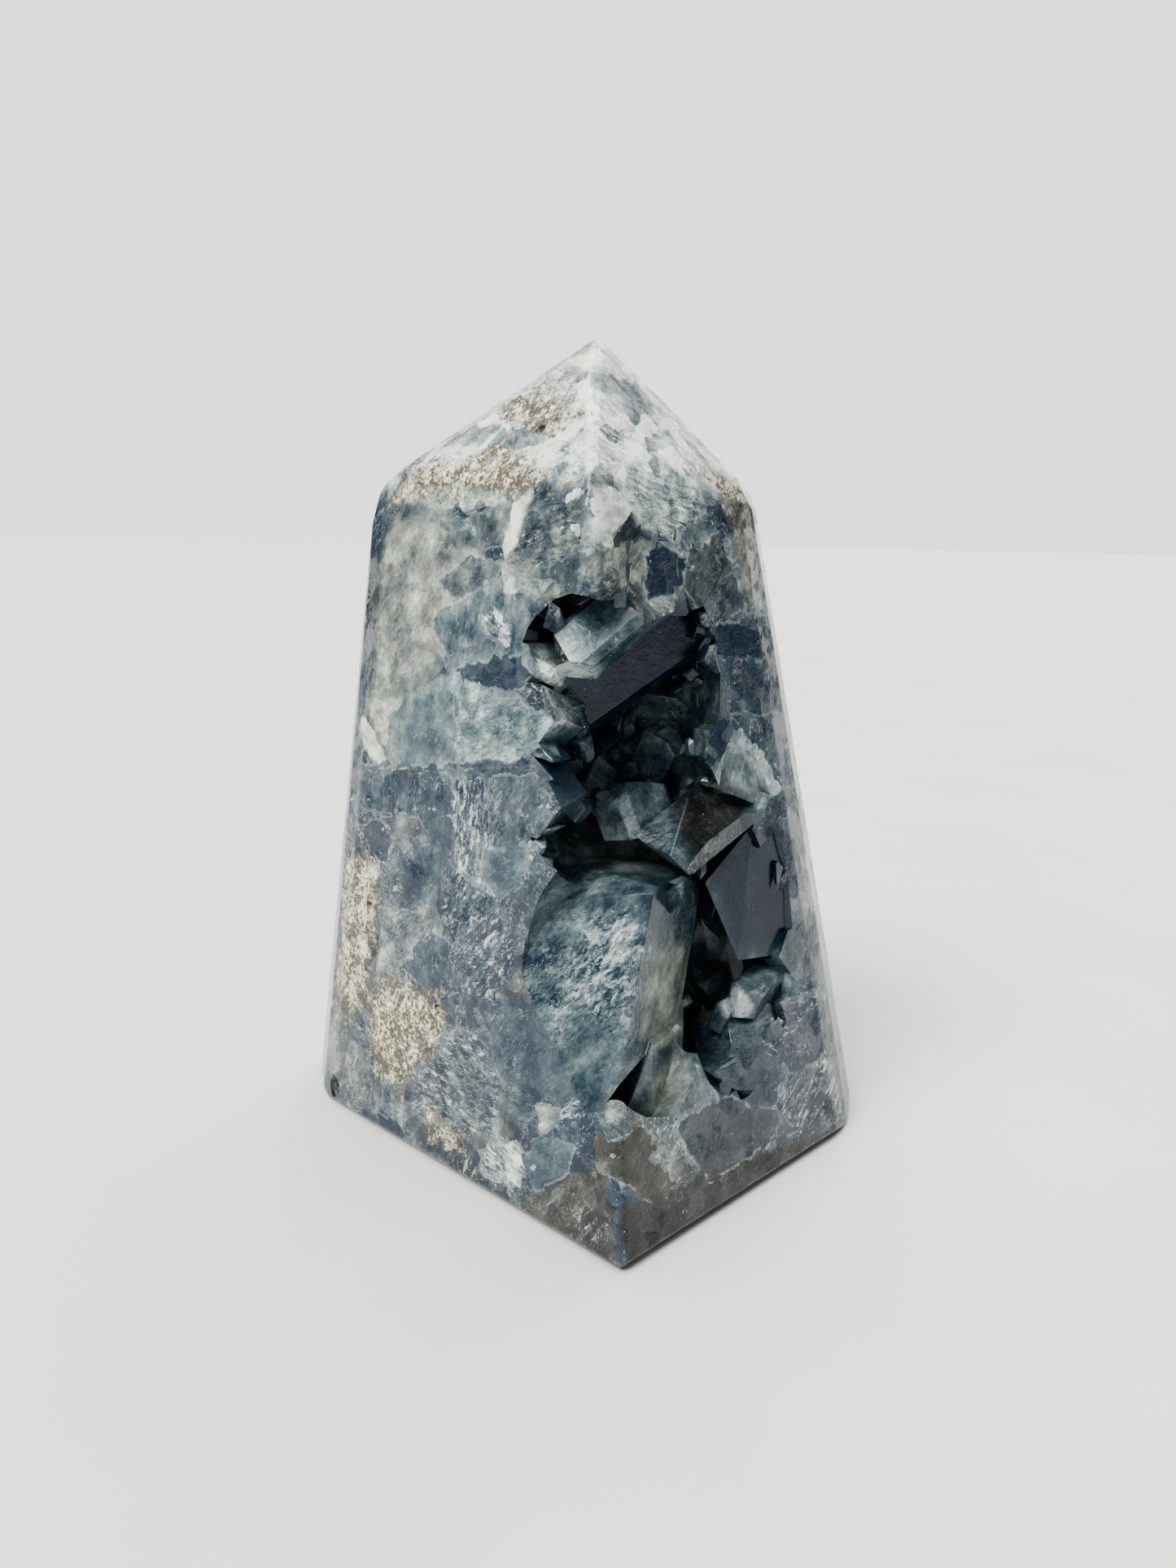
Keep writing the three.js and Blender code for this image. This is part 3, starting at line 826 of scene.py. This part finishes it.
# Patches of porous tan rind: face, corners, and how soft the outline is.
RIND = [
    # left rind
    ("left", [(-69, 31.5), (-68.5, 15), (-60.5, 19), (-56.5, 39.5), (-57.5, 45.5), (-68.5, 45)], 1.5),
    # main rind
    ("left", [(-50.5, 28), (-59, 23.5), (-56, 9.5), (-50, 8), (-39, 23.5), (-40.5, 27.5)], 1.5),
    # low rind
    ("left", [(-41.5, 8), (-42, 4), (-35, 4.5), (-33, 7.5)], 1),
    # rind along the shoulder
    ("cap_left", [(-39.5, 3), (-44, -1.5), (-13, -1), (-6.5, 0), (-14, 2.5)], 1.2),
    # high rind
    ("cap_left", [(-12.5, 9), (-10, 11.5), (-21.5, 16.5), (-27, 15), (-21.5, 10.5)], 1),
    # small rind
    ("cap_left", [(-26.5, 4), (-15, 2), (-15, 5), (-22, 7)], 0.8),
    # rind at the far shoulder
    ("cap_right", [(27, 2), (28, -2), (34, -1.5), (34, 1)], 0.8),
]

# The way that the great crystal's cleavage runs.
GREAT_WAY = (0.6, -0.2, 0.8)

# Crystals in the pocket: the middle and reach of each in millimetres, tone, warmth, frost, and
# the way that its frost runs.
GROWN_CRYSTALS = [
    # the great crystal: its pane, its dusty top painted paler as painted light where the roof shades it, two
    # right-hand faces and foot
    ((-1, -30, 34), 15, 0.54, -0.1, 0.65, GREAT_WAY),
    ((4, -29, 40), 8, 0.72, 0.0, 1.2, GREAT_WAY),
    ((1, -35, 24), 8, 0.58, 0.0, 0.2, GREAT_WAY),
    # its top, dusty and painted paler still: painted light that its shaded recess doesn't get
    ((-2, -16, 50), 12, 0.60, -0.1, 0.15, GREAT_WAY),
    ((6, -9, 51), 9, 0.85, -0.2, 0.08, GREAT_WAY),
    ((11, -24, 47), 5, 0.36, -0.5, 0.1, GREAT_WAY),
    ((12, -22, 33), 9, 0.74, 1.0, 0.0, GREAT_WAY),
    ((14, -24, 18), 7, 0.74, 0.8, 0.02, GREAT_WAY),
    # painted shade on the crystals inside the left rim, where the pocket's wall shades them
    ((-4, -19, 64), 7, 0.22, -0.2, 0.05, (1, 0, 0.5)),
    # the smoky wedge and its bright end
    ((19, -15, 56), 8, 0.14, 0.9, 0.2, (1, 0, 0.5)),
    ((9, -20, 56), 5, 0.58, 0.3, 0.7, (1, 0, 0.5)),
    # pale blue crystal at the right, and the smooth pane below it
    ((25, -10, 66), 6, 0.76, -0.3, 0.3, (0.3, 0, 1)),
    ((29, -9, 45), 12, 0.04, -0.1, 0.02, (0, 0, 1)),
    # green-black crystals low on the right, the chips between them, and a painted highlight where one face
    # mirrors a lamp
    ((24, -18, 22), 7, 0.44, 0.1, 0.05, (1, 0, 0)),
    ((33, -12, 22), 6, 0.42, -0.1, 0.5, (1, 0, 1)),
    # a painted highlight: the face that mirrors a lamp, painted white
    ((24, -15, 28.2), 2.8, 1.05, 0.0, 0.9, (1, 0, 1)),
    # frosty tips under the roof, and the long crystal behind them, painted dark as shade under the roof
    ((-4, -24, 78), 7, 0.95, 0.3, 0.9, (1, 0, 0.6)),
    ((3, -16, 86), 6, 0.90, 0.4, 0.9, (1, 0, 0.6)),
    ((3, -10, 75), 9, 0.08, -0.2, 0.05, (1, 0, 0.6)),
    ((12, -9, 83), 8, 0.06, -0.2, 0.05, (1, 0, 0.6)),
]

# The stone's colour by tone, for cool and for warm stone, and the rind's by its grain.
COOL_TONES = [
    (0.0, (0.005, 0.018, 0.044)), (0.2, (0.016, 0.037, 0.063)), (0.4, (0.050, 0.084, 0.107)),
    (0.6, (0.148, 0.190, 0.196)), (0.8, (0.35, 0.39, 0.378)), (1.0, (0.70, 0.735, 0.70)),
]
WARM_TONES = [
    (0.0, (0.014, 0.013, 0.010)), (0.2, (0.042, 0.041, 0.035)), (0.4, (0.105, 0.106, 0.092)),
    (0.6, (0.22, 0.225, 0.192)), (0.8, (0.41, 0.415, 0.35)), (1.0, (0.72, 0.72, 0.63)),
]
RIND_TONES = [
    (0.26, (0.05, 0.046, 0.038)), (0.37, (0.23, 0.215, 0.165)), (0.48, (0.40, 0.375, 0.27)),
    (0.60, (0.58, 0.56, 0.44)), (0.76, (0.80, 0.785, 0.70)),
]
# The colour of frost, and the tints of aqua stone and of the clear crystals.
WHITE = (0.88, 0.90, 0.86, 1.0)
AQUA = (0.90, 1.0, 0.965, 1.0)
CLEAR_TINT = (0.88, 0.95, 1.0, 1.0)
NO_TINT = (1.0, 1.0, 1.0, 1.0)

# Sizes of grains in millimetres: the plain stone's crystals, smaller ones in them, crumbs between
# these, and the stretches of the pocket's wall whose frost runs one way.
BIG_GRAIN = 14.0
SMALL_GRAIN = 5.5
CRUMB = 2.2
POCKET_GRAIN = 9.0
# How far a place strays in millimetres, by fine raggedness and by the wide bends of the growth.
RAGGED = 1.2
BENDS = 7.0
# How far the outlines of cut crystals follow the joints between crumbs.
SNAP = 0.45
# How much grit and strokes are drawn out along a crystal's way, and the largest speck's radius.
GRIT_DRAWN_OUT = 0.72
STROKES_DRAWN_OUT = 0.95
SPECK_RADIUS = 0.11

# A crystal's outline is seen as a white line, between these distances from it in millimetres,
# where it is no softer than SOFT_OUTLINE. A crystal is paler by RIM_PALER nearer than RIM_REACH.
SOFT_OUTLINE = 0.55
RIM_LINE = (0.04, 0.20)
RIM_REACH = 3.0
RIM_PALER = 0.10
# The point takes over from the sides between these heights, and its frost runs this way.
POINT_FROM = (102.0, 107.0)
POINT_WAY = (0.75, 0.1, -0.65)
POINT_WARMTH = 0.35
POINT_FROST = 1.2
# The sides are painted darker by this up to about the shoulder: painted shade, as light from above falls on
# them less than on the point.
SIDES_PAINTED_SHADE = 0.07
SHOULDER = (103.0, 106.0)
# Between these depths behind the middle, the point and the sides come closer in tone, by this: the painted
# light on the point and the painted shade on the sides fade out behind.
BEHIND = (0.0, 25.0)
PAINTED_LIGHT_FADE = 0.16

# Gloss over the polished stone, and what the clear crystals let through: how much, and the colour
# and density of what they absorb.
CELESTITE_IOR = 1.62
GLOSS = 0.35
GLOSS_ROUGHNESS = 0.06
CLEARNESS = 0.35
DEEP_COLOR = (0.35, 0.6, 0.8, 1.0)
DEEP_DENSITY = 80.0
# Slope of the broken planes inside the stone, and the rind's depth in millimetres and roughness.
FACET_SLOPE = 0.12
PIT_DEPTH = 0.25
RIND_ROUGHNESS = 0.6


def places_group(grains):
    """A place bent by the growth of the stone, a ragged place, a place snapped to the crumbs, and
    the tone and slope of these crumbs."""
    group, given, made = start_group("grown_places", "Place", "Bent Nearly Snapped Crumb Facet")
    place = given["Place"]
    half = (0.5, 0.5, 0.5)
    wide = vector_calc(group, "SUBTRACT", noise(group, place, 0.07, 1.0)[1], half)
    fine = vector_calc(group, "SUBTRACT", noise(group, place, 0.7, 4.0, 0.65)[1], half)
    nearly = vector_calc(group, "ADD", place, scaled(group, fine, RAGGED))
    crumbs = use(group, grains, {"Place": nearly, "Size": CRUMB})
    fill(group, made, {
        "Bent": vector_calc(group, "ADD", nearly, scaled(group, wide, BENDS)),
        "Nearly": nearly,
        "Snapped": mix_vector(group, SNAP, nearly, crumbs["Middle"]),
        "Crumb": crumbs["Tone"],
        "Facet": crumbs["Lean"],
    })
    return group


def plain_look(tree, grains, bent, place):
    """Tone, warmth and frost of stone that no listed crystal covers, the way of its frost, and the
    small grains' tone. A wide cloud shifts all three, and the grains shift tone and frost."""
    big = use(tree, grains, {"Place": bent, "Size": BIG_GRAIN})
    small = use(tree, grains, {"Place": bent, "Size": SMALL_GRAIN})
    lit, warm, frosty = unpack(tree, noise(tree, place, 0.06, 3.0, 0.6)[1])
    tone = add_share(tree, -0.58, big["Tone"], 0.30)
    tone = add_share(tree, tone, small["Tone"], 0.18)
    tone = add_share(tree, tone, big["Lean"], 0.12)
    tone = add_share(tree, tone, small["Lean"], 0.12)
    tone = add_share(tree, tone, lit, 1.3)
    warmth = add_share(tree, -1.35, warm, 3.0, clamp=True)
    frost = add_share(tree, -0.95, frosty, 2.4)
    frost = add_share(tree, frost, small["Tone"], 0.5, clamp=True)
    return pack(tree, tone, warmth, frost), big["Way"], small["Tone"]


def cut_look_group(grains, places):
    """Tone, warmth and frost of the cut faces, the way of their frost, and the listed crystals'
    outlines."""
    group, given, made = start_group("cut_faces_look", "Place", "Look Way Rim")
    place = given["Place"]
    grown = use(group, places, {"Place": place})
    look, way, small_tone = plain_look(group, grains, grown["Bent"], place)
    # The point is brighter, partly as whiter stone and partly as painted light from above, and streaked from
    # the upper left down to the right.
    _, deep, height = unpack(group, grown["Bent"])
    on_point = step(group, height, *POINT_FROM)
    painted_light_fade = times(group, step(group, deep, *BEHIND), PAINTED_LIGHT_FADE)
    look = vector_calc(group, "ADD", look, pack(group, painted_light_fade))
    point_tone_and_painted_light = calc(group, "SUBTRACT", add_share(group, 0.80, small_tone, 0.4), painted_light_fade)
    look = mix_vector(group, on_point, look, pack(group, point_tone_and_painted_light, POINT_WARMTH, POINT_FROST))
    way = mix_vector(group, on_point, way, POINT_WAY)
    where = charts(group, grown["Snapped"])
    rim = RIM_REACH
    listed = [(face, *crystal) for face, crystals in CUT_CRYSTALS.items() for crystal in crystals]
    for face, corners, tone, warmth, frost, angle, soft in listed:
        _, across, up, _ = face_axes(face)
        runs = across * math.cos(math.radians(angle)) + up * math.sin(math.radians(angle))
        reach = beyond(group, where[face], corners)
        inside = step(group, reach, -soft, 0.3 * soft, 1.0, 0.0)
        look = mix_vector(group, inside, look, (tone, warmth, frost))
        way = mix_vector(group, inside, way, runs)
        if soft < SOFT_OUTLINE:
            rim = calc(group, "MINIMUM", rim, calc(group, "ABSOLUTE", reach))
    # A crystal is paler towards its outline, where it is thin.
    paler = step(group, rim, 0.0, RIM_REACH, RIM_PALER, 0.0)
    # Below the shoulder the stone is darker: painted shade on the sides.
    paler = calc(group, "ADD", paler, step(group, height, *SHOULDER, -SIDES_PAINTED_SHADE, 0.0))
    fill(group, made, {
        "Look": vector_calc(group, "ADD", look, pack(group, paler)),
        "Way": way,
        "Rim": step(group, rim, *RIM_LINE, 1.0, 0.0),
    })
    return group


def grown_look_group(grains):
    """Tone, warmth and frost of the crystals in the pocket, and the way of their frost. Each listed
    crystal's look holds near its middle, and fades out a little past its reach."""
    group, given, made = start_group("pocket_look", "Place", "Look Way")
    place = given["Place"]
    deep = unpack(group, place)[1]
    cloud = add_share(group, -0.15, noise(group, place, 0.12, 2.0)[0], 0.3)
    tone = calc(group, "ADD", step(group, deep, -26.0, -4.0, 0.50, 0.56), cloud)
    look = pack(group, tone, -0.1, 0.1)
    way = use(group, grains, {"Place": place, "Size": POCKET_GRAIN})["Way"]
    for middle, reach, tone, warmth, frost, runs in GROWN_CRYSTALS:
        gap = put(group, "VectorMath", {0: place, 1: middle}, operation="DISTANCE").outputs["Value"]
        inside = step(group, gap, 0.6 * reach, 1.15 * reach, 1.0, 0.0)
        look = mix_vector(group, inside, look, (tone, warmth, frost))
        way = mix_vector(group, calc(group, "LESS_THAN", gap, 1.15 * reach), way, runs)
    fill(group, made, {"Look": look, "Way": way})
    return group


def stone_group(places, frost, specks):
    """The stone's own colour, roughness and glitter for a given look."""
    group, given, made = start_group("celestite_stone", "Place Look Way Rim", "Color Roughness White")
    place = given["Place"]
    tone, warmth, frosting = unpack(group, given["Look"])
    grown = use(group, places, {"Place": place})
    broken = use(group, frost, {"Place": grown["Nearly"], "Way": given["Way"]})
    grit = centred(group, broken["Grit"])
    lit, clumped, _ = unpack(group, noise(group, place, 0.22, 4.0, 0.65)[1])
    # Clouds shift the tone everywhere, crumbs and grit the more the frostier the stone is. Very
    # frosty stone is darker between its frost.
    tone = add_share(group, tone, centred(group, lit), 1.15)
    tone = add_share(group, tone, centred(group, grown["Crumb"]), add_share(group, 0.06, frosting, 0.24))
    tone = add_share(group, tone, grit, add_share(group, 0.6, frosting, 1.5))
    tone = add_share(group, tone, step(group, frosting, 0.3, 1.0), -0.08)
    color = mix_color(group, warmth, ramp(group, tone, COOL_TONES), ramp(group, tone, WARM_TONES))
    aqua = calc(group, "MULTIPLY", warmth, -1.0, clamp=True)
    color = mix_color(group, aqua, color, AQUA, "MULTIPLY")
    # Frost gathers in clumps, and more of it where there is more frosting.
    frosting = add_share(group, frosting, centred(group, clumped), 3.0)
    edge = add_share(group, calc(group, "SUBTRACT", grit, 0.23), frosting, 0.15)
    plenty = step(group, frosting, 0.25, 0.9)
    frosted = step(group, edge, 0.01, 0.12, 0.0, 0.75)
    stroke = times(group, broken["Stroke"], times(group, plenty, 0.9))
    thread = times(group, broken["Thread"], add_share(group, 0.06, plenty, 0.35))
    flake = calc(group, "GREATER_THAN", broken["Flake"], 0.86)
    flake = times(group, flake, step(group, edge, -0.10, -0.02, 0.0, 0.5))
    speck = use(group, specks, {"Place": place})["Speck"]
    speck = times(group, speck, step(group, clumped, 0.40, 0.56, 0.0, 0.9))
    broken_line = step(group, broken["Grit"], 0.48, 0.60, 0.0, 0.55)
    rim = times(group, given["Rim"], broken_line)
    white = most(group, [frosted, thread, flake, stroke, rim, speck])
    fill(group, made, {
        "Color": mix_color(group, white, color, WHITE),
        "Roughness": mix(group, white, add_share(group, 0.2, grit, 0.3), 0.3),
        "White": white,
    })
    return group


def rind_group():
    """Porous tan rind: where it is, its colour and its pitted height."""
    group, given, made = start_group("tan_rind", "Place", "Here Color Height")
    place = given["Place"]
    where = charts(group, place)
    ragged = add_share(group, -7.0, noise(group, place, 0.5, 5.0, 0.7)[0], 14.0)
    patches = []
    for face, corners, soft in RIND:
        reach = calc(group, "ADD", beyond(group, where[face], corners), ragged)
        patches.append(step(group, reach, -soft, soft, 1.0, 0.0))
    # Fine grain, and broad patches of paler and darker grain.
    grain = add_share(group, -0.25, noise(group, place, 1.6, 6.0, 0.8)[0], 1.5)
    grain = add_share(group, grain, centred(group, noise(group, place, 0.35, 2.0, 0.6)[0]), 0.6)
    fill(group, made, {
        "Here": most(group, patches),
        "Color": ramp(group, grain, RIND_TONES),
        "Height": step(group, grain, 0.34, 0.5),
    })
    return group


# Materials

def new_material(name):
    material = bpy.data.materials.new(name)
    material.use_nodes = True
    tree = material.node_tree
    return material, tree, tree.nodes["Principled BSDF"], tree.nodes["Material Output"]


def millimetres(tree):
    coordinates = put(tree, "TexCoord")
    return scaled(tree, coordinates.outputs["Object"], 1.0 / MM)


def facets(tree, places, grains, place):
    """Height in millimetres of the broken planes inside the stone."""
    grown = use(tree, places, {"Place": place})
    coarse = use(tree, grains, {"Place": grown["Nearly"], "Size": SMALL_GRAIN})
    height = times(tree, grown["Facet"], CRUMB * FACET_SLOPE)
    return add_share(tree, height, coarse["Lean"], SMALL_GRAIN * FACET_SLOPE)


def polished_material(grains, places, look, stone, rind):
    material, tree, surface, _ = new_material("milky_celestite")
    place = millimetres(tree)
    seen = use(tree, look, {"Place": place})
    body = use(tree, stone, {"Place": place, "Look": seen["Look"], "Way": seen["Way"],
                             "Rim": seen["Rim"]})
    rough = use(tree, rind, {"Place": place})
    pits = times(tree, rough["Here"], PIT_DEPTH)
    height = add_share(tree, facets(tree, places, grains, place), rough["Height"], pits)
    bump = put(tree, "Bump", {"Strength": 1.0, "Distance": MM, "Height": height})
    fill(tree, surface, {
        "Base Color": mix_color(tree, rough["Here"], body["Color"], rough["Color"]),
        "Roughness": mix(tree, rough["Here"], body["Roughness"], RIND_ROUGHNESS),
        "Normal": bump.outputs[0],
        "IOR": CELESTITE_IOR,
        "Coat Weight": GLOSS,
        "Coat Roughness": GLOSS_ROUGHNESS,
    })
    return material


def clear_material(look, stone):
    material, tree, surface, output = new_material("clear_crystal")
    place = millimetres(tree)
    seen = use(tree, look, {"Place": place})
    body = use(tree, stone, {"Place": place, "Look": seen["Look"], "Way": seen["Way"], "Rim": 0.0})
    waves = noise(tree, place, 1.2, 3.0)[0]
    bump = put(tree, "Bump", {"Strength": 0.4, "Distance": 0.1 * MM, "Height": waves})
    tint = mix_color(tree, body["White"], CLEAR_TINT, NO_TINT)
    fill(tree, surface, {
        "Base Color": mix_color(tree, 1.0, body["Color"], tint, "MULTIPLY"),
        "Roughness": body["Roughness"],
        "Normal": bump.outputs[0],
        "IOR": CELESTITE_IOR,
        "Transmission Weight": CLEARNESS,
    })
    absorption = put(tree, "VolumeAbsorption", {"Color": DEEP_COLOR, "Density": DEEP_DENSITY})
    fill(tree, output, {"Volume": absorption.outputs[0]})
    return material


def floor_material():
    material, tree, surface, _ = new_material("pale_floor")
    grain = noise(tree, millimetres(tree), 0.02, 3.0)[0]
    color = ramp(tree, grain, [(0.3, (0.64, 0.645, 0.64)), (0.7, (0.67, 0.675, 0.67))])
    fill(tree, surface, {"Base Color": color, "Roughness": 0.7})
    return material


# The stage

def make_camera():
    camera = bpy.data.objects.new("camera", bpy.data.cameras.new("camera"))
    bpy.context.scene.collection.objects.link(camera)
    camera.data.sensor_fit = "VERTICAL"
    camera.data.sensor_height = PICTURE_HEIGHT
    camera.data.lens = LENS
    camera.data.clip_start = NEAREST
    forward = Vector((0, math.cos(LOOKS_DOWN), -math.sin(LOOKS_DOWN)))
    level = Vector((1, 0, 0))
    upright = level.cross(forward)
    right = math.cos(ROLL) * level + math.sin(ROLL) * upright
    up = math.cos(ROLL) * upright - math.sin(ROLL) * level
    placed = Matrix((right, up, -forward)).transposed().to_4x4()
    placed.translation = CAMERA_AT
    camera.matrix_world = placed
    bpy.context.scene.camera = camera


def make_floor():
    take_up(frame["nodes"]["polished_tower"])
    bpy.ops.mesh.primitive_circle_add(vertices=96, radius=FLOOR_RADIUS, fill_type="NGON")
    floor = bpy.context.active_object
    floor.name = "floor"
    floor.data.materials.append(floor_material())


def soft_sun(name, comes_from, spread, strength, color):
    sun = bpy.data.objects.new(name, bpy.data.lights.new(name, "SUN"))
    bpy.context.scene.collection.objects.link(sun)
    sun.data.angle = math.radians(spread)
    sun.data.energy = strength
    sun.data.color = color
    sun.rotation_euler = Vector(comes_from).to_track_quat("Z", "Y").to_euler()


def make_lights():
    for name, (comes_from, spread, strength, color) in SUNS.items():
        soft_sun(name, comes_from, spread, strength, color)
    world = bpy.data.worlds.new("studio")
    bpy.context.scene.world = world
    world.use_nodes = True
    seen = put(world.node_tree, "LightPath").outputs["Is Camera Ray"]
    strength = mix(world.node_tree, seen, LIGHT_FROM_ROOM, LIGHT_OF_BACKDROP)
    background = world.node_tree.nodes["Background"]
    fill(world.node_tree, background, {"Color": ROOM_COLOR, "Strength": strength})
    bpy.context.scene.view_settings.look = "AgX - High Contrast"
    bpy.context.scene.view_settings.exposure = EXPOSURE


make_camera()
make_floor()
make_lights()

block, block_planes = make_block()
tower = make_tower(block)
crystals = make_crystals(block, block_planes)

grains = grains_group()
places = places_group(grains)
stone = stone_group(places, frost_group(), specks_group())
polished = polished_material(grains, places, cut_look_group(grains, places), stone, rind_group())
clear = clear_material(grown_look_group(grains), stone)
tower.data.materials.append(polished)
crystals.data.materials.append(clear)
crystals.data.materials.append(polished)
remove(block)

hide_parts("polished_tower")
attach(tower, "root")
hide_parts("pocket_crystals")
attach(crystals, "root")
